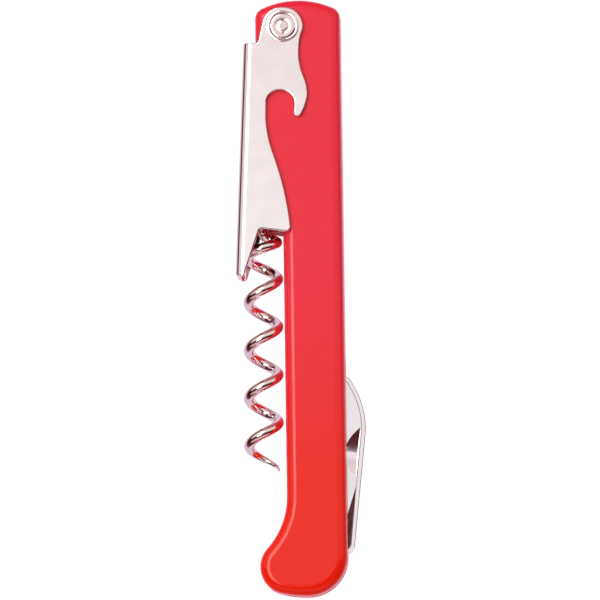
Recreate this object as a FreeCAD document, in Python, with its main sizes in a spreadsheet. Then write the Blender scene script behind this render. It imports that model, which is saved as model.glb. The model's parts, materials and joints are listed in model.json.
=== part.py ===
import FreeCAD, Part
import math
import os

import Sketcher
from FreeCAD import Placement, Rotation, Vector

# A single-lever waiter's corkscrew, folded flat.  Every sub-part is drawn in one working frame: the
# lever rivet's axis is the origin, +X points to the knife's side, +Y out past the head of the handle,
# and Z = 0 is the handle's middle plane.  The placements then set the whole tool down on its back.

DOC = FreeCAD.newDocument("WaitersCorkscrew")

SIZES = (
    # where the lever rivet stands in the finished tool
    ("rivet_x", -2.54),
    ("rivet_y", 54.24),
    ("mid_height", 6.2),
    # handle outline, measured from the lever rivet
    ("handle_right", 11.37),
    ("head_left", 5.65),
    ("waist_left", 0.58),
    ("crown_top", 5.5),
    ("crown_offset", 2.8),
    ("crown_radius", 17.0),
    ("crown_slope", 23.0),
    ("head_corner", 2.3),
    ("step_drop", 39.5),
    ("step_fillet", 1.5),
    ("foot_drop", 114.12),
    # handle section
    ("handle_half", 5.0),
    ("edge_round", 2.0),
    ("shell_wall", 1.9),
    ("liner_gap", 2.6),
    ("liner_sheet", 0.8),
    ("fit_gap", 0.1),
    ("run_gap", 0.05),
    # lever
    ("lever_lean", 2.66),
    ("lever_half", 5.2),
    ("lever_sheet", 1.0),
    ("spine_offset", 7.85),
    ("fold_radius", 1.65),
    ("lever_edge", 0.25),
    ("dimple_radius", 2.95),
    ("dimple_depth", 0.8),
    ("dimple_floor", 0.7),
    ("dimple_wall", 0.5),
    ("dimple_bevel", 0.3),
    ("boss_depth", 0.5),
    ("lever_washer", 0.5),
    ("washer_room", 0.8),
    ("washer_gap", 0.55),
    ("seat_room", 0.35),
    ("rivet_radius", 1.75),
    ("rivet_head", 2.75),
    ("rivet_height", 1.0),
    ("rivet_crown", 0.55),
    ("rivet_core", 1.05),
    ("rivet_groove", 0.45),
    ("rivet_tail", 6.15),
    ("bush_wall", 0.8),
    # worm
    ("worm_pin_x", -2.1),
    ("worm_pin_y", -35.0),
    ("worm_lean", 0.5),
    ("wire_radius", 1.05),
    ("coil_radius", 2.95),
    ("coil_pitch", 9.6),
    ("coil_turns", 4),
    ("first_apex", -15.3),
    ("first_turn_loss", 2.1),
    ("flare_start", 1.25),
    ("flare_turns", 0.3),
    ("taper_turns", 0.5),
    ("tip_radius", 0.24),
    ("pin_radius", 1.5),
    # knife
    ("knife_pin_x", 6.8),
    ("knife_pin_y", -103.0),
    ("blade_thick", 1.2),
    ("bevel_depth", 0.5),
    ("bevel_width", 1.9),
    ("rim_depth", 0.15),
    ("rim_width", 0.85),
    ("rim_edge", 0.1),
    ("nick_depth", 0.5),
    ("nick_width", 2.7),
    ("relief_tilt", 13.5),
    ("slot_half", 0.9),
    ("washer_radius", 2.4),
    ("washer_thick", 0.6),
    # small pins
    ("stud_radius", 1.25),
    ("spacer_radius", 1.9),
    ("peg_radius", 0.9),
    ("spring_width", 2.4),
    ("spring_pin_x", 3.6),
    ("spring_pin_y", -66.0),
)

# Outlines are lists of (x, y, corner radius), drawn anticlockwise.
WORM_SLOT = [(-8, -42, 0), (0, -42, 0), (1.9, -38.6, 1.5), (1.9, -31, 1.5), (-8, -31, 0)]
KNIFE_SLOT = [(-0.9, -118, 0), (16, -118, 0), (16, -66.5, 0), (8.6, -66.5, 1.0), (8.6, -108, 3.0),
              (-0.9, -108, 1.0)]
SPRING_BAR = [
    (2.4, -96.4, 0.4), (4.2, -96.4, 0.8), (4.2, -71.0, 6.0), (5.9, -66.0, 3.0), (4.2, -61.0, 6.0),
    (4.2, -33.5, 0.8), (1.75, -33.5, 0.4), (1.75, -37.6, 3.0), (2.4, -43.0, 6.0), (2.4, -61.0, 6.0),
    (1.5, -66.0, 3.0), (2.4, -71.0, 6.0)]

SPACER_PLACES = ((5.5, -12.0), (2.6, -25.5), (6.8, -46.0), (-2.2, -108.5))
PEG_PLACES = ((7.2, -24.0), (6.8, -58.0), (2.4, -109.6))

sheet = DOC.addObject("Spreadsheet::Sheet", "dims")
for row, (alias, value) in enumerate(SIZES, start=1):
    sheet.set("A%d" % row, alias)
    sheet.set("B%d" % row, str(value))
    sheet.setAlias("B%d" % row, alias)
DOC.recompute()

NODES = []


def size(alias):
    return float(sheet.get(alias))


def bind(thing, prop, formula):
    thing.setExpression(prop, formula)


# ---------------------------------------------------------------- outlines


def heading(degrees):
    angle = math.radians(degrees)
    return Vector(math.cos(angle), math.sin(angle), 0)


def sides(corners):
    """Unit vectors into and out of each corner of a closed outline."""
    points = [Vector(x, y, 0) for x, y, radius in corners]
    for here, point in enumerate(points):
        before = (point - points[here - 1]).normalize()
        after = (points[(here + 1) % len(points)] - point).normalize()
        yield point, before, after


def inset(corners, gap):
    """The same outline moved inwards: convex corners tighten and hollow ones open out."""
    moved = []
    for (x, y, radius), (point, before, after) in zip(corners, sides(corners)):
        left_before = Vector(-before.y, before.x, 0)
        left_after = Vector(-after.y, after.x, 0)
        shift = (left_before + left_after) * (gap / (1 + left_before.dot(left_after)))
        convex = before.cross(after).z > 0
        new_radius = max(radius - gap, 0) if convex else radius + gap
        moved.append((point.x + shift.x, point.y + shift.y, new_radius))
    return moved


def rounded(corners):
    """Lines and tangent arcs of an outline given anticlockwise as (x, y, corner radius).

    Each piece comes with the numbers of its first and last point, as the sketch counts them."""
    pieces = []
    stops = []
    for (x, y, radius), (point, before, after) in zip(corners, sides(corners)):
        turn = before.getAngle(after)
        reach = radius * math.tan(turn / 2)
        stops.append((point - before * reach, point + after * reach, radius, before, after))
    for here, (start, end, radius, before, after) in enumerate(stops):
        if radius > 0:
            convex = before.cross(after).z > 0
            normal = Vector(-before.y, before.x, 0) * (1 if convex else -1)
            centre = start + normal * radius
            first = math.atan2(start.y - centre.y, start.x - centre.x)
            last = math.atan2(end.y - centre.y, end.x - centre.x)
            if not convex:
                first, last = last, first
            if last < first:
                last += 2 * math.pi
            circle = Part.Circle(centre, Vector(0, 0, 1), radius)
            arc = Part.ArcOfCircle(circle, first, last)
            pieces.append((arc, 1, 2) if convex else (arc, 2, 1))
        following = stops[(here + 1) % len(stops)][0]
        if (following - end).dot(after) < -1e-6:
            raise ValueError("the corners at %s and %s leave no room for their arcs" % (end, following))
        if (following - end).Length > 1e-6:
            pieces.append((Part.LineSegment(end, following), 1, 2))
    return pieces


def draw_outline(sketch, corners):
    pieces = rounded(corners)
    first = sketch.GeometryCount
    for shape, start, end in pieces:
        sketch.addGeometry(shape, False)
    for here in range(len(pieces)):
        following = (here + 1) % len(pieces)
        sketch.addConstraint(Sketcher.Constraint(
            "Coincident", first + here, pieces[here][2], first + following, pieces[following][1]))


def draw_circle(sketch, x, y, radius):
    """A circle whose centre and radius are formulas on the sheet."""
    values = [sketch.evalExpression(formula) for formula in (x, y, radius)]
    centre = Vector(values[0], values[1], 0)
    circle = sketch.addGeometry(Part.Circle(centre, Vector(0, 0, 1), values[2]), False)
    wanted = (
        (Sketcher.Constraint("DistanceX", -1, 1, circle, 3, values[0]), x),
        (Sketcher.Constraint("DistanceY", -1, 1, circle, 3, values[1]), y),
        (Sketcher.Constraint("Radius", circle, values[2]), radius),
    )
    for constraint, formula in wanted:
        number = sketch.addConstraint(constraint)
        bind(sketch, "Constraints[%d]" % number, formula)


# ---------------------------------------------------------------- bodies and features


def place_on_back(thing, x="0", y="0"):
    """Binds a sub-part's placement to the rivet's place in the finished tool."""
    bind(thing, "Placement.Base.x", "dims.rivet_x + " + x)
    bind(thing, "Placement.Base.y", "dims.rivet_y + " + y)
    bind(thing, "Placement.Base.z", "dims.mid_height")


def new_body(label):
    body = DOC.addObject("PartDesign::Body", label)
    body.Label = label
    place_on_back(body)
    NODES.append(body)
    return body


def new_sketch(body, lift="0", plane="XY_Plane"):
    sketch = body.newObject("Sketcher::SketchObject", body.Name + "_sketch")
    support = [feature for feature in body.Origin.OriginFeatures if feature.Role == plane]
    sketch.AttachmentSupport = [(support[0], "")]
    sketch.MapMode = "FlatFace"
    bind(sketch, "AttachmentOffset.Base.z", lift)
    return sketch


def add_feature(body, kind, sketch, length, side=1):
    """A pad or pocket: side 1 works along +Z, -1 along -Z, and 0 half each way."""
    feature = body.newObject("PartDesign::" + kind, body.Name + "_" + kind.lower())
    feature.Profile = sketch
    feature.Type = "Length"
    bind(feature, "Length", length)
    feature.SideType = "One side" if side else "Symmetric"
    upward = side > 0
    feature.Reversed = upward if kind == "Pocket" else not upward
    DOC.recompute()
    return feature


def cut(body, sketch, length, side=1):
    """A pocket that has to take material away."""
    before = body.Shape.Volume
    feature = add_feature(body, "Pocket", sketch, length, side)
    if body.Shape.Volume > before - 1e-3:
        raise RuntimeError(body.Label + ": a pocket cuts nothing")
    return feature


def edges_where(shape, test):
    """Names of the edges whose every point passes the test."""
    names = []
    for number, edge in enumerate(shape.Edges, start=1):
        ends = [edge.valueAt(edge.FirstParameter + part * (edge.LastParameter - edge.FirstParameter))
                for part in (0, 0.5, 1)]
        if all(test(point) for point in ends):
            names.append("Edge%d" % number)
    return names


def dress_edges(body, kind, test, **formulas):
    """A fillet or chamfer on the edges that pass the test, with its sizes bound to the sheet."""
    base = body.Tip
    names = edges_where(base.Shape, test)
    feature = body.newObject("PartDesign::" + kind, body.Name + "_" + kind.lower())
    feature.Base = (base, names)
    for prop, formula in formulas.items():
        bind(feature, prop, formula)
    DOC.recompute()
    return feature


def level(height):
    return lambda point: abs(point.z - height) < 1e-4


# ---------------------------------------------------------------- handle


def handle_corners():
    """The handle seen from the front: crowned head, step on the worm's side, waist and curved foot."""
    right = size("handle_right")
    left = -size("head_left")
    waist = -size("waist_left")
    slope = math.radians(size("crown_slope"))
    peak = size("crown_top") + size("crown_radius") * (1 / math.cos(slope) - 1)
    offset = size("crown_offset")
    corner = size("head_corner")
    step = -size("step_drop")
    foot = -size("foot_drop")
    return [
        (right, foot, 8.0),
        (right, peak - (right - offset) * math.tan(slope), corner),
        (offset, peak, size("crown_radius")),
        (left, peak - (offset - left) * math.tan(slope), corner),
        (left, step, corner),
        (waist, step, size("step_fillet")),
        (waist, foot + 14.17, 15.6),
        (waist - 10.75, foot + 2.27, 5.5),
        (waist + 1.95, foot, 19.0),
    ]


def make_scale(label, side):
    """One plastic half of the handle, hollow for its liner and slotted for the knife and the worm."""
    body = new_body(label)
    outline = new_sketch(body)
    draw_outline(outline, handle_corners())
    add_feature(body, "Pad", outline, "dims.handle_half", side)
    outer = side * size("handle_half")
    dress_edges(body, "Fillet", level(outer), Radius="dims.edge_round")

    hollow = new_sketch(body)
    draw_outline(hollow, inset(handle_corners(), size("shell_wall")))
    cut(body, hollow, "dims.liner_gap / 2 + dims.liner_sheet", side)

    worm_slot = new_sketch(body)
    draw_outline(worm_slot, WORM_SLOT)
    cut(body, worm_slot, "dims.liner_gap / 2", side)

    knife_slot = new_sketch(body)
    draw_outline(knife_slot, KNIFE_SLOT)
    cut(body, knife_slot, "dims.slot_half", side)

    seat = new_sketch(body, lift="%d * (dims.lever_half - dims.lever_washer - dims.washer_room)" % side)
    draw_circle(seat, "0", "0", "dims.dimple_radius + dims.dimple_wall + dims.seat_room")
    cut(body, seat, "dims.handle_half", side)

    bore = new_sketch(body)
    draw_circle(bore, "0", "0", "dims.rivet_radius + dims.run_gap")
    cut(body, bore, "dims.handle_half", side)

    floor = "%d * (dims.liner_gap / 2 + dims.liner_sheet)" % side
    pegs = new_sketch(body, lift=floor)
    for x, y in PEG_PLACES:
        draw_circle(pegs, str(x), str(y), "dims.peg_radius")
    add_feature(body, "Pad", pegs, "dims.liner_sheet - dims.fit_gap", -side)
    return body


def make_liner(label, side):
    """A steel liner: it carries every pin and lies in the hollow of its scale."""
    body = new_body(label)
    plate = new_sketch(body, lift="%d * dims.liner_gap / 2" % side)
    draw_outline(plate, inset(handle_corners(), size("shell_wall") + size("fit_gap")))
    draw_circle(plate, "0", "0", "dims.rivet_radius + dims.run_gap")
    draw_circle(plate, "dims.worm_pin_x", "dims.worm_pin_y", "dims.pin_radius")
    draw_circle(plate, "dims.knife_pin_x", "dims.knife_pin_y", "dims.pin_radius")
    draw_circle(plate, "dims.spring_pin_x", "dims.spring_pin_y", "dims.stud_radius")
    for x, y in SPACER_PLACES:
        draw_circle(plate, str(x), str(y), "dims.stud_radius")
    for x, y in PEG_PLACES:
        draw_circle(plate, str(x), str(y), "dims.peg_radius + dims.run_gap")
    add_feature(body, "Pad", plate, "dims.liner_sheet", side)
    return body


def make_spring():
    """The back spring between the liners: one arm for the worm's eye, one for the knife's tang."""
    body = new_body("back_spring")
    bar = new_sketch(body)
    draw_outline(bar, SPRING_BAR)
    draw_circle(bar, "dims.spring_pin_x", "dims.spring_pin_y", "dims.stud_radius")
    add_feature(body, "Pad", bar, "dims.spring_width", 0)
    return body


def make_disc(label, x, y, outer, inner, low, thick):
    """A plain pin, or with an inner radius a washer or bush, from formulas on the sheet."""
    body = new_body(label)
    face = new_sketch(body, lift=low)
    draw_circle(face, x, y, outer)
    if inner:
        draw_circle(face, x, y, inner)
    add_feature(body, "Pad", face, thick, 1)
    return body


def make_washer(label, x, y, outer, inner, start, thick, side):
    """A washer on one side of the middle plane, starting at a distance from it."""
    low = start if side > 0 else "-(%s) - (%s)" % (start, thick)
    return make_disc(label, x, y, outer, inner, low, thick)


def make_studs():
    """The rivets that hold the liners together, and the tubes that keep them apart."""
    rivets = []
    tubes = []
    for number, (x, y) in enumerate(SPACER_PLACES, start=1):
        rivet = DOC.addObject("Part::Cylinder", "stud_%d" % number)
        bind(rivet, "Radius", "dims.stud_radius")
        bind(rivet, "Height", "dims.liner_gap + 2 * dims.liner_sheet")
        bind(rivet, "Placement.Base.z", "-dims.liner_gap / 2 - dims.liner_sheet")
        tube = DOC.addObject("Part::Cylinder", "tube_%d" % number)
        bind(tube, "Radius", "dims.spacer_radius")
        bore = DOC.addObject("Part::Cylinder", "tube_bore_%d" % number)
        bind(bore, "Radius", "dims.stud_radius")
        for solid in (tube, bore):
            bind(solid, "Height", "dims.liner_gap")
            bind(solid, "Placement.Base.z", "-dims.liner_gap / 2")
        for solid in (rivet, tube, bore):
            solid.Placement.Base = Vector(x, y, 0)
        spacer = DOC.addObject("Part::Cut", "spacer_%d" % number)
        spacer.Base = tube
        spacer.Tool = bore
        rivets.append(rivet)
        tubes.append(spacer)
    for label, members in (("liner_rivets", rivets), ("liner_spacers", tubes)):
        group = DOC.addObject("Part::Compound", label)
        group.Label = label
        group.Links = members
        place_on_back(group)
        NODES.append(group)


# ---------------------------------------------------------------- lever


def lever_corners():
    """A side plate of the lever: boss round the rivet, cap hook, straight shank and tapered tail."""
    spine = -size("spine_offset")
    return [
        (spine, -50.2, 0), (-6.2, -50.6, 0.5), (-3.3, -40.75, 0.8), (3.0, -41.35, 0.8),
        (1.78, -33.3, 60.0), (-2.85, -21.04, 23.7), (-2.85, -12.9, 2.8), (2.85, -12.9, 2.8),
        (2.85, -18.07, 0.55), (4.05, -18.07, 0.55), (6.3, -13.92, 8.1), (2.5, -5.8, 12.4),
        (5.3, 3.85, 3.9), (-3.56, 3.85, 3.9), (-4.88, -3.6, 0.8), (spine, -3.6, 0)]


def make_lever():
    """Folded from one sheet: two equal side plates and the spine that joins them."""
    body = new_body("lever")
    body.Placement.Rotation = Rotation(Vector(0, 0, 1), -size("lever_lean"))
    bind(body, "Placement.Rotation.Angle", "-dims.lever_lean")
    blank = new_sketch(body)
    draw_outline(blank, lever_corners())
    add_feature(body, "Pad", blank, "2 * (dims.lever_half + dims.lever_sheet)", 0)

    channel = new_sketch(body)
    inner = size("lever_sheet") - size("spine_offset")
    draw_outline(channel, [(inner, -60, 0), (10, -60, 0), (10, 10, 0), (inner, 10, 0)])
    cut(body, channel, "2 * dims.lever_half", 0)

    outer_x = -size("spine_offset")
    outer_z = size("lever_half") + size("lever_sheet")
    inner_z = size("lever_half")

    def outer_fold(point):
        return abs(point.x - outer_x) < 1e-4 and abs(abs(point.z) - outer_z) < 1e-4

    def inner_fold(point):
        return abs(point.x - inner) < 1e-4 and abs(abs(point.z) - inner_z) < 1e-4

    dress_edges(body, "Fillet", outer_fold, Radius="dims.fold_radius")
    dress_edges(body, "Fillet", inner_fold, Radius="dims.fold_radius - dims.lever_sheet")

    dress_edges(body, "Fillet", lambda point: abs(abs(point.z) - outer_z) < 1e-4, Radius="dims.lever_edge")

    for side in (1, -1):
        boss = new_sketch(body, lift="%d * (dims.lever_half - dims.boss_depth)" % side)
        draw_circle(boss, "0", "0", "dims.dimple_radius + dims.dimple_wall")
        add_feature(body, "Pad", boss, "dims.dimple_floor", side)
        hollow = new_sketch(body, lift="%d * (dims.lever_half + dims.lever_sheet)" % side)
        draw_circle(hollow, "0", "0", "dims.dimple_radius")
        cut(body, hollow, "dims.dimple_depth", -side)

    def dimple_rim(point):
        return abs(abs(point.z) - outer_z) < 1e-4 and abs(math.hypot(point.x, point.y) - dimple) < 1e-4

    dimple = size("dimple_radius")
    dress_edges(body, "Chamfer", dimple_rim, Size="dims.dimple_bevel")
    bore = new_sketch(body)
    draw_circle(bore, "0", "0", "dims.rivet_radius + dims.run_gap")
    cut(body, bore, "4 * dims.lever_half", 0)
    return body


def make_lever_rivet():
    """A solid rivet with a flat head at the back, and a ring round a raised core at the front."""
    body = new_body("lever_rivet")
    profile = new_sketch(body, plane="XZ_Plane")
    shank = size("rivet_radius")
    head = size("rivet_head")
    seat = size("lever_half") + size("lever_sheet") - size("dimple_depth") + size("run_gap")
    crown = seat + size("rivet_height")
    core = size("rivet_core")
    groove = size("rivet_groove")
    tail = -size("rivet_tail")
    draw_outline(profile, [
        (0, tail, 0), (head, tail, size("rivet_crown")), (head, -seat, 0), (shank, -seat, 0),
        (shank, seat, 0), (head, seat, 0), (head, crown, size("rivet_crown")),
        (core + groove, crown, groove / 2), (core + groove / 2, crown - groove, 0),
        (core, crown, groove), (0, crown, 0)])
    turned = body.newObject("PartDesign::Revolution", "lever_rivet_turned")
    turned.Profile = profile
    turned.ReferenceAxis = (profile, ["V_Axis"])
    turned.Angle = 360
    DOC.recompute()
    return body


# ---------------------------------------------------------------- worm


def worm_line():
    """Middle line of the worm's wire from the pin's axis: open eye, shank, flare, then the turns.

    Returns its points, and the number of the point where the wire starts to taper."""
    eye = size("pin_radius") + size("wire_radius") + size("run_gap")
    pitch = size("coil_pitch")
    turns = size("coil_turns")
    apex = size("first_apex")
    step = 30
    eye_start, eye_end, eye_step = -95, 180, 25
    points = [heading(degrees) * eye for degrees in range(eye_start, eye_end + 1, eye_step)]
    shank = size("wire_radius") * 1.5
    points += [Vector(-eye, -shank, 0), Vector(-eye, -2 * shank, 0)]
    for degrees in range(-int(360 * size("flare_start")), int(360 * turns) + 1, step):
        turn = degrees / 360
        drop = apex - turn * pitch
        if turn < 0:
            drop = apex - turn * (pitch - size("first_turn_loss") * min(-turn, 1))
        swell = min(max((turn + size("flare_start")) / size("flare_turns"), 0), 1)
        radius = size("coil_radius") * swell * swell * (3 - 2 * swell)
        out = Vector(math.cos(2 * math.pi * turn), 0, math.sin(2 * math.pi * turn)) * radius
        points.append(Vector(-eye, drop, 0) + out)
    return points, len(points) - 1 - round(size("taper_turns") * 360 / step)


def make_worm():
    """Round wire swept along its line, one span a turn, then lofted down to a point."""
    points, taper_start = worm_line()
    curve = Part.BSplineCurve()
    curve.interpolate(points)
    knots = curve.getKnots()
    wire_radius = size("wire_radius")

    def ring(knot, radius):
        circle = Part.Circle(curve.value(knot), curve.tangent(knot)[0], radius)
        return Part.Wire([circle.toShape()])

    stops = knots[0:taper_start:12] + [knots[taper_start]]
    spine = Part.Wire([curve.toShape(start, end) for start, end in zip(stops, stops[1:])])
    sweep = Part.BRepOffsetAPI.MakePipeShell(spine)
    sweep.add(ring(knots[0], wire_radius), False, False)
    sweep.build()
    sweep.makeSolid()

    taper = knots[taper_start:]
    thinning = (wire_radius - size("tip_radius")) / (len(taper) - 1)
    rings = [ring(knot, wire_radius - thinning * number) for number, knot in enumerate(taper)]
    point = Part.makeLoft(rings, True, False)

    worm = DOC.addObject("Part::Feature", "worm")
    worm.Label = "worm"
    worm.Shape = sweep.shape().fuse(point)
    worm.Placement.Rotation = Rotation(Vector(0, 0, 1), -size("worm_lean"))
    bind(worm, "Placement.Rotation.Angle", "-dims.worm_lean")
    place_on_back(worm, "dims.worm_pin_x", "dims.worm_pin_y")
    NODES.append(worm)
    return worm


# ---------------------------------------------------------------- knife


def knife_corners():
    """The foil knife folded into the handle: straight back with a hump, hooked tip, round tang."""
    return [
        (12.4, -105.6, 1.4), (12.75, -104.0, 0), (15.25, -81.1, 8.0), (15.25, -76.2, 16.5),
        (12.2, -70.5, 1.5), (7.6, -68.1, 0), (10.2, -80.0, 30.0), (6.4, -96.5, 0), (3.6, -99.0, 1.0),
        (3.6, -105.6, 2.6)]


def make_knife():
    """Ground to an edge on the hooked side, with a narrow rim and a thumbnail nick along the back."""
    body = new_body("knife_blade")
    blank = new_sketch(body)
    draw_outline(blank, knife_corners())
    draw_circle(blank, "dims.knife_pin_x", "dims.knife_pin_y", "dims.pin_radius + dims.run_gap")
    add_feature(body, "Pad", blank, "dims.blade_thick", 0)
    half = size("blade_thick") / 2

    def flat_side(point):
        return abs(abs(point.z) - half) < 1e-4

    def cutting_edge(point):
        return flat_side(point) and -96.6 < point.y < -68.0 and point.x < 9.6

    bevel = dress_edges(body, "Chamfer", cutting_edge, Size="dims.bevel_depth")
    bevel.ChamferType = "Two distances"
    bind(bevel, "Size2", "dims.bevel_width")
    DOC.recompute()

    heel, spur, hump, crest, shoulder, tip, hollow = inset(knife_corners(), size("rim_width"))[0:7]
    for side in (1, -1):
        face = new_sketch(body, lift="%d * dims.blade_thick / 2" % side)
        draw_outline(face, [(11.0, -100.5, 0), (12.2, -100.5, 0), hump, crest, shoulder, tip, hollow,
                            (7.6, -95.0, 0)])
        cut(body, face, "dims.rim_depth", -side)

    def back_edge(point):
        return flat_side(point) and point.x > 11.5 and point.y > -100.0

    dress_edges(body, "Chamfer", back_edge, Size="dims.rim_edge")

    grind_relief(body, Vector(13.5, -91.0, 0), Vector(11.3, -98.0, 0), [
        heel, spur, hump[0:2] + (0,), (hump[0] - 4, hump[1], 0), (heel[0] - 2.6, heel[1], 0)])
    grind_nick(body, Vector(14.28, -80.3, 0), Vector(13.16, -90.5, 0))
    return body


def grind_relief(body, start, end, corners):
    """A flat ground down into the tang's front, inside the rim.

    It leaves the blade's face along the line from start to end, and falls away to the right of it."""
    along = (end - start).normalize()
    across = Vector(-along.y, along.x, 0)
    tilt = size("relief_tilt")
    flat = new_sketch(body)
    base = Vector(start.x, start.y, size("blade_thick") / 2 - size("rim_depth"))
    flat.AttachmentOffset = Placement(base, Rotation(along, -tilt))
    bind(flat, "AttachmentOffset.Base.z", "dims.blade_thick / 2 - dims.rim_depth")
    drawn = []
    for x, y, radius in corners:
        reach = Vector(x, y, 0) - start
        spread = across * reach.dot(across) * (1 / math.cos(math.radians(tilt)) - 1)
        drawn.append((reach.x + spread.x, reach.y + spread.y, radius))
    draw_outline(flat, drawn)
    cut(body, flat, "dims.blade_thick", 1)


def grind_nick(body, top, bottom):
    """The mark in the blade's face of a dished cutter whose flat side stood along its back."""
    face = size("blade_thick") / 2 - size("rim_depth")
    reach = (top - bottom).Length / 2
    depth = size("nick_depth")
    cutter = (reach * reach + depth * depth) / (2 * depth)
    lean = math.degrees(math.atan2(top.x - bottom.x, top.y - bottom.y))
    middle = (top + bottom) / 2
    nick = new_sketch(body, plane="XZ_Plane")
    nick.AttachmentOffset = Placement(
        Vector(middle.x, face + cutter - depth, -middle.y), Rotation(Vector(0, 1, 0), -lean))
    bind(nick, "AttachmentOffset.Base.z", "%f" % -middle.y)
    wide = size("nick_width")
    reach_past = 1.25
    draw_outline(nick, [(0, -cutter, 0), (0, -cutter + depth * reach_past, 0),
                        (-wide * reach_past, -cutter + depth * reach_past, 0)])
    before = body.Shape.Volume
    groove = body.newObject("PartDesign::Groove", "knife_nick")
    groove.Profile = nick
    groove.ReferenceAxis = (nick, ["H_Axis"])
    groove.Angle = 360
    DOC.recompute()
    if body.Shape.Volume > before - 1e-3:
        raise RuntimeError("the nick cuts nothing")


# ---------------------------------------------------------------- build


make_scale("front_scale", 1)
make_scale("back_scale", -1)
make_liner("front_liner", 1)
make_liner("back_liner", -1)
make_spring()
make_studs()
HALF_STACK = "-dims.liner_gap / 2 - dims.liner_sheet"
FULL_STACK = "dims.liner_gap + 2 * dims.liner_sheet"
make_disc("spring_rivet", "dims.spring_pin_x", "dims.spring_pin_y", "dims.stud_radius", None,
          HALF_STACK, FULL_STACK)
make_disc("worm_pin", "dims.worm_pin_x", "dims.worm_pin_y", "dims.pin_radius", None,
          HALF_STACK, FULL_STACK)
make_disc("knife_pin", "dims.knife_pin_x", "dims.knife_pin_y", "dims.pin_radius", None,
          HALF_STACK, FULL_STACK)
make_disc("lever_bush", "0", "0", "dims.rivet_radius + dims.bush_wall", "dims.rivet_radius + dims.run_gap",
          "-dims.liner_gap / 2", "dims.liner_gap")
make_lever()
make_lever_rivet()
for name, side in (("front", 1), ("back", -1)):
    make_washer(name + "_lever_washer", "0", "0", "dims.dimple_radius + dims.dimple_wall",
                "dims.rivet_radius + dims.run_gap",
                "dims.lever_half - dims.lever_washer - dims.washer_gap", "dims.lever_washer", side)
    make_washer(name + "_worm_washer", "dims.worm_pin_x", "dims.worm_pin_y", "dims.washer_radius",
                "dims.pin_radius + dims.run_gap", "dims.wire_radius + 0.03",
                "dims.liner_gap / 2 - dims.wire_radius - 0.05", side)
    make_washer(name + "_knife_washer", "dims.knife_pin_x", "dims.knife_pin_y",
                "dims.washer_radius", "dims.pin_radius + dims.run_gap",
                "dims.blade_thick / 2 + dims.run_gap", "dims.washer_thick", side)
make_worm()
make_knife()

DOC.recompute()
for thing in DOC.Objects:
    if "Invalid" in thing.State or "Error" in thing.State:
        raise RuntimeError("%s is %s" % (thing.Label, thing.State))
os.makedirs("parts", exist_ok=True)
for node in NODES:
    shape = node.Shape
    if shape.isNull() or not shape.isValid():
        raise RuntimeError(node.Label + " has no valid shape")
    shape.exportStep("parts/%s.step" % node.Label)
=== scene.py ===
import json
import math

import bpy
from mathutils import Matrix, Vector


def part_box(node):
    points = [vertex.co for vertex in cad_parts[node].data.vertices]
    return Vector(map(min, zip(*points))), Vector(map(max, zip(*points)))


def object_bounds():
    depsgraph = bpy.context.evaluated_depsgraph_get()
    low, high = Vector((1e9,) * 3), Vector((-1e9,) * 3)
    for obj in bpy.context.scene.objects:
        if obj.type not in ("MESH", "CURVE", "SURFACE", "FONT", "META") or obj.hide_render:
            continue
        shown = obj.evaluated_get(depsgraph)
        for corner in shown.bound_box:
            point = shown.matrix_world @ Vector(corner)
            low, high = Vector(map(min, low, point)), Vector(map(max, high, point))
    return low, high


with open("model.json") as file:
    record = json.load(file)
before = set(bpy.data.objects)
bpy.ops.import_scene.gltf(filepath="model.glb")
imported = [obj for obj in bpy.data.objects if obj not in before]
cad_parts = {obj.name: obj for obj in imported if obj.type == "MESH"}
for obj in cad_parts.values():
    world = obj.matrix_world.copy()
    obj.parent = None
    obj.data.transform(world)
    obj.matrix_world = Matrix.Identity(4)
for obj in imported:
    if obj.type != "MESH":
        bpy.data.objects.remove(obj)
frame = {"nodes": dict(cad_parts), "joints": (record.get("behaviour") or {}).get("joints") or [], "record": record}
CAD_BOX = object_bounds()
MM = 0.001

# ---------------------------------------------------------------- places, worked out from the frame

RIVET = Vector(next(j["pos_m"] for j in frame["joints"] if j["name"] == "lever_pivot"))
TABLE = CAD_BOX[0].z
HANDLE_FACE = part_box("front_scale")[1].z

# ---------------------------------------------------------------- the studio

# The inside of the tent, as (sine of the direction seen from the tool, colour on screen). It is pale, with
# a dark card overhead on the foot's side, a dusky end beyond the head and a dark band round the horizon.
FOOT_TO_HEAD = (
    (-1.0, (216, 196, 196)), (-0.68, (220, 200, 200)), (-0.58, (96, 40, 42)), (-0.03, (76, 28, 32)),
    (0.03, (240, 233, 233)), (0.105, (243, 243, 245)), (0.125, (237, 231, 232)), (0.145, (226, 212, 212)),
    (0.5, (250, 240, 238)), (0.85, (190, 150, 148)), (1.0, (120, 76, 76)))
HORIZON_TO_TOP = (
    (0.05, (88, 40, 42)), (0.14, (120, 70, 70)), (0.26, (250, 240, 238)), (1.0, (255, 255, 255)))
BOTTOM_TO_HORIZON = (
    (-1.0, (228, 206, 228)), (-0.42, (222, 202, 220)), (-0.28, (110, 62, 66)), (0.0, (80, 34, 38)))
# The lower wall fades into the upper one between these two.
LOWER_ENDS, UPPER_STARTS = -0.02, 0.04
SKY_STRENGTH = 1.0

LIGHT_DISTANCE = 1.0
STRIP_TOWARDS_HEAD = 0.25

FLOOR_WIDTH = 3.0
FLOOR_GAP = 0.02 * MM
FLOOR_GLOW = 0.95

# The camera aims at a point measured from the lever rivet on the handle's face. It leans from straight
# above towards the tool's foot and towards the knife's side.
RIVET_TO_AIM = (2.66, -55.03, 0)
CAMERA_DISTANCE = 1.5
VIEW_WIDTH = 0.11975
SENSOR_WIDTH = 36.0
NEAREST_SEEN = 0.01
ROLL = math.radians(-0.8)
LEAN_TO_FOOT = math.radians(5.5)
LEAN_TO_KNIFE = math.radians(2.2)

# ---------------------------------------------------------------- finishes

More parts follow.
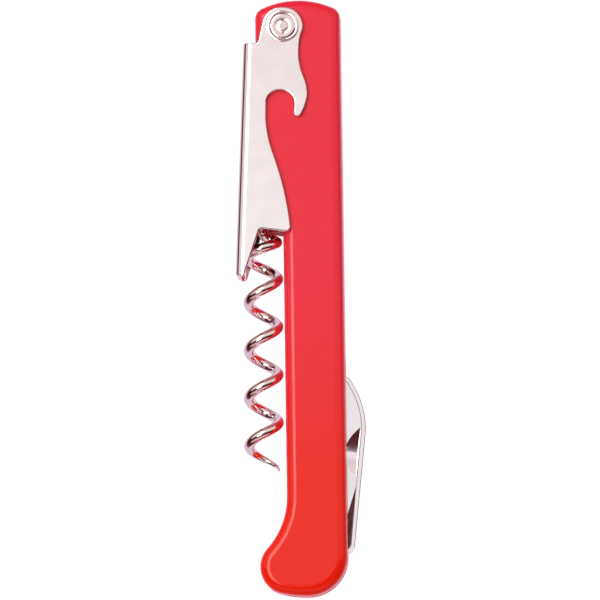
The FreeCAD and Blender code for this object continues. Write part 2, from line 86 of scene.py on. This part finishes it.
# The plastic is an orange red up to the first place along the handle. From there a painted reflection of pale
# light turns it pinker, and from the second it is a pink red.
ORANGE_ENDS, PAINTED_SHEEN_FULL = -38 * MM, 4 * MM
CLOUD_STRENGTH = 0.18
SMUDGE_BRIGHTNESS = 0.96
FINE_BUMP = 0.01 * MM
BROAD_BUMP = 0.02 * MM

# The places of the two colours and of the result among a Mix node's sockets, some of which share a name
MIX_FIRST, MIX_SECOND, MIX_RESULT = 6, 7, 2


def linear(red, green, blue):
    """A colour as seen on a screen (0 to 255) in the renderer's linear light."""
    def one(value):
        value /= 255
        return value / 12.92 if value <= 0.04045 else ((value + 0.055) / 1.055) ** 2.4
    return (one(red), one(green), one(blue), 1.0)


class Nodes:
    """A node tree, built a line at a time."""

    def __init__(self, tree, place):
        self.tree = tree
        self.place = self.add("ShaderNodeTexCoord").outputs[place]

    def add(self, kind, **settings):
        node = self.tree.nodes.new(kind)
        for name, value in settings.items():
            setattr(node, name, value)
        return node

    def put(self, value, socket):
        """Links another node's output to the socket, or sets the socket to a number or colour."""
        if isinstance(value, bpy.types.NodeSocket):
            self.tree.links.new(value, socket)
        else:
            socket.default_value = value

    def axis(self, letter):
        split = self.add("ShaderNodeSeparateXYZ")
        self.put(self.place, split.inputs["Vector"])
        return split.outputs[letter]

    def span(self, source, low, high, to_low=0.0, to_high=1.0):
        """Maps low..high onto to_low..to_high, and holds the ends."""
        node = self.add("ShaderNodeMapRange")
        for name, value in (("Value", source), ("From Min", low), ("From Max", high),
                            ("To Min", to_low), ("To Max", to_high)):
            self.put(value, node.inputs[name])
        return node.outputs["Result"]

    def mix(self, factor, first, second, kind="MIX"):
        node = self.add("ShaderNodeMix", data_type="RGBA", blend_type=kind)
        self.put(factor, node.inputs["Factor"])
        self.put(first, node.inputs[MIX_FIRST])
        self.put(second, node.inputs[MIX_SECOND])
        return node.outputs[MIX_RESULT]


class Finish(Nodes):
    """One material and its shader."""

    def __init__(self, name):
        self.material = bpy.data.materials.new(name)
        self.material.use_nodes = True
        super().__init__(self.material.node_tree, "Object")
        self.shader = self.tree.nodes["Principled BSDF"]

    def set(self, **sockets):
        for name, value in sockets.items():
            self.put(value, self.shader.inputs[name.replace("_", " ")])

    def noise(self, scale, detail=3.0, rough=0.5, stretch=(1, 1, 1)):
        """Noise whose cells are about 1 / scale metres across, finer along an axis with a larger stretch."""
        mapping = self.add("ShaderNodeMapping")
        self.put(self.place, mapping.inputs["Vector"])
        self.put([scale * part for part in stretch], mapping.inputs["Scale"])
        texture = self.add("ShaderNodeTexNoise")
        for name, value in (("Vector", mapping.outputs["Vector"]), ("Scale", 1.0),
                            ("Detail", detail), ("Roughness", rough)):
            self.put(value, texture.inputs[name])
        return texture.outputs["Fac"]

    def bump(self, height, strength, distance, onto=None):
        node = self.add("ShaderNodeBump")
        for name, value in (("Height", height), ("Strength", strength), ("Distance", distance)):
            self.put(value, node.inputs[name])
        if onto is not None:
            self.put(onto, node.inputs["Normal"])
        return node.outputs["Normal"]


def moulded_red():
    """Glossy moulded plastic, orange red, with a painted reflection of pale light that makes it pinker at the
    head, and a faint orange peel.
    """
    red = Finish("moulded_red")
    # The pink red towards the head is a painted reflection of pale light, blended over the orange red.
    along = red.span(red.axis("Y"), ORANGE_ENDS, PAINTED_SHEEN_FULL)
    red_with_painted_sheen = red.mix(along, linear(239, 33, 3), linear(239, 44, 66))
    clouds = red.span(red.noise(90, detail=2.0), 0.3, 0.7)
    cloudy = red.mix(clouds, linear(232, 32, 20), linear(242, 44, 32))
    peel = red.bump(red.noise(1400, detail=2.0), 0.04, FINE_BUMP)
    red.set(Base_Color=red.mix(CLOUD_STRENGTH, red_with_painted_sheen, cloudy),
            Roughness=red.span(red.noise(700, detail=4.0), 0.3, 0.7, 0.12, 0.17),
            Normal=red.bump(red.noise(160, detail=2.0), 0.10, BROAD_BUMP, onto=peel),
            IOR=1.49, Specular_IOR_Level=0.35,
            Sheen_Weight=0.6, Sheen_Roughness=0.3, Sheen_Tint=linear(255, 205, 228))
    return red.material


def bare_metal(name, colour, rough, scratch=0.12, stretch=(1, 1, 1), wave=0.3):
    """Metal with a soft uneven gloss, hairline scratches and slight waviness."""
    metal = Finish(name)
    smudged = tuple(part * SMUDGE_BRIGHTNESS for part in colour[:3]) + (1.0,)
    smudges = metal.span(metal.noise(220), 0.35, 0.65)
    hairlines = metal.bump(metal.noise(1500, rough=0.6, stretch=stretch), scratch, FINE_BUMP)
    metal.set(Metallic=1.0,
              Base_Color=metal.mix(smudges, smudged, colour),
              Roughness=metal.span(metal.noise(500, detail=5.0), 0.3, 0.7, rough * 0.8, rough * 1.25),
              Normal=metal.bump(metal.noise(150, detail=1.0), wave, BROAD_BUMP, onto=hairlines))
    return metal.material


def nylon_washer():
    """Natural nylon, slightly mottled."""
    nylon = Finish("nylon")
    nylon.set(Base_Color=nylon.mix(nylon.noise(400), linear(226, 222, 210), linear(238, 235, 226)),
              Roughness=0.5)
    return nylon.material


def finish_all():
    """Gives each CAD piece the finish of its material slot in the record."""
    grain = (1, 5, 1)
    finishes = {
        "handle_red": moulded_red(),
        "lever_nickel": bare_metal("nickel_plate", linear(255, 248, 247), 0.11,
                                   scratch=0.04, stretch=(6, 0.4, 1), wave=0.05),
        "rivet_nickel": bare_metal("nickel_rivet", linear(246, 234, 232), 0.10, scratch=0.04, wave=0.05),
        "worm_chrome": bare_metal("chrome_wire", linear(250, 238, 235), 0.09, scratch=0.03, wave=0.04),
        "blade_steel": bare_metal("ground_steel", linear(250, 244, 244), 0.10,
                                  scratch=0.08, stretch=(8, 0.3, 1), wave=0.1),
        "liner_steel": bare_metal("stamped_steel", linear(190, 188, 190), 0.35, scratch=0.2, stretch=grain),
        "spring_steel": bare_metal("spring_steel", linear(160, 158, 160), 0.4, scratch=0.2, stretch=grain),
        "pin_steel": bare_metal("turned_steel", linear(200, 198, 200), 0.3),
        "washer_brass": bare_metal("brass", linear(214, 178, 104), 0.3),
        "washer_nylon": nylon_washer()}
    for part in frame["record"]["subparts"]:
        for slot in frame["nodes"][part["node"]].material_slots:
            slot.material = finishes[part["material_slot"]]


# ---------------------------------------------------------------- stage, light and camera


def make_floor():
    """White paper that is lit mostly by its own glow, so the tool's shadow on it stays faint."""
    bpy.ops.mesh.primitive_plane_add(size=FLOOR_WIDTH, location=(0, 0, TABLE - FLOOR_GAP))
    floor = bpy.context.object
    floor.name = "floor"
    paper = Finish("white_paper")
    paper.set(Base_Color=paper.mix(paper.noise(60), (0.22, 0.22, 0.22, 1), (0.25, 0.25, 0.25, 1)),
              Roughness=0.9, Specular_IOR_Level=0.0,
              Emission_Color=(1, 1, 1, 1), Emission_Strength=FLOOR_GLOW)
    floor.data.materials.append(paper.material)
    floor.visible_glossy = False


def make_world():
    """The tent: a wall above the horizon, coloured along the tool and upwards, and one below it."""
    world = bpy.data.worlds.new("studio")
    bpy.context.scene.world = world
    world.use_nodes = True
    tent = Nodes(world.node_tree, "Generated")

    def wall(letter, stops):
        """The colours along one axis, from -1 to 1."""
        ramp = tent.add("ShaderNodeValToRGB")
        tent.put(tent.span(tent.axis(letter), -1, 1), ramp.inputs["Fac"])
        points = ramp.color_ramp.elements
        stops = [((sine + 1) / 2, linear(*colour)) for sine, colour in stops]
        points[0].position, points[0].color = stops[0]
        points[1].position, points[1].color = stops[-1]
        for position, colour in stops[1:-1]:
            points.new(position).color = colour
        return ramp.outputs["Color"]

    upper = tent.mix(1.0, wall("Y", FOOT_TO_HEAD), wall("Z", HORIZON_TO_TOP), "MULTIPLY")
    height = tent.span(tent.axis("Z"), LOWER_ENDS, UPPER_STARTS)
    background = tent.tree.nodes["Background"]
    tent.put(tent.mix(height, wall("Z", BOTTOM_TO_HORIZON), upper), background.inputs["Color"])
    tent.put(SKY_STRENGTH, background.inputs["Strength"])


def make_softbox(name, lean, size, radiance):
    """An area light that faces the middle of the tool, leaning to its left from overhead."""
    data = bpy.data.lights.new(name, "AREA")
    data.shape = "RECTANGLE"
    data.size, data.size_y = size
    data.energy = radiance * math.pi * size[0] * size[1]
    lamp = bpy.data.objects.new(name, data)
    bpy.context.scene.collection.objects.link(lamp)
    lean = math.radians(lean)
    lamp.location = Vector((-math.sin(lean), 0, math.cos(lean))) * LIGHT_DISTANCE
    lamp.rotation_euler = (0, -lean, 0)
    return lamp


def make_lights():
    """A bright strip that is seen only in reflections, and a key light that is never reflected."""
    strip = make_softbox("strip_light", lean=21, size=(0.44, 1.1), radiance=4.5)
    strip.location.y = STRIP_TOWARDS_HEAD
    strip.visible_diffuse = False
    key = make_softbox("key_light", lean=20, size=(0.7, 0.9), radiance=3.05)
    key.visible_glossy = False


def make_camera():
    """Looks down at the front of the tool, a little from its foot and from the knife's side."""
    data = bpy.data.cameras.new("camera")
    camera = bpy.data.objects.new("camera", data)
    bpy.context.scene.collection.objects.link(camera)
    data.sensor_width = SENSOR_WIDTH
    data.lens = SENSOR_WIDTH * CAMERA_DISTANCE / VIEW_WIDTH
    data.clip_start = NEAREST_SEEN
    aim = Vector((RIVET.x, RIVET.y, HANDLE_FACE)) + Vector(RIVET_TO_AIM) * MM
    back = Vector((math.sin(LEAN_TO_KNIFE), -math.sin(LEAN_TO_FOOT), 1)).normalized()
    side = Vector((-math.sin(ROLL), math.cos(ROLL), 0)).cross(back).normalized()
    up = back.cross(side)
    turn = Matrix((side, up, back)).transposed().to_4x4()
    camera.matrix_world = Matrix.Translation(aim + back * CAMERA_DISTANCE) @ turn
    bpy.context.scene.camera = camera


make_camera()
finish_all()
make_floor()
make_world()
make_lights()
bpy.context.scene.view_settings.view_transform = "Standard"
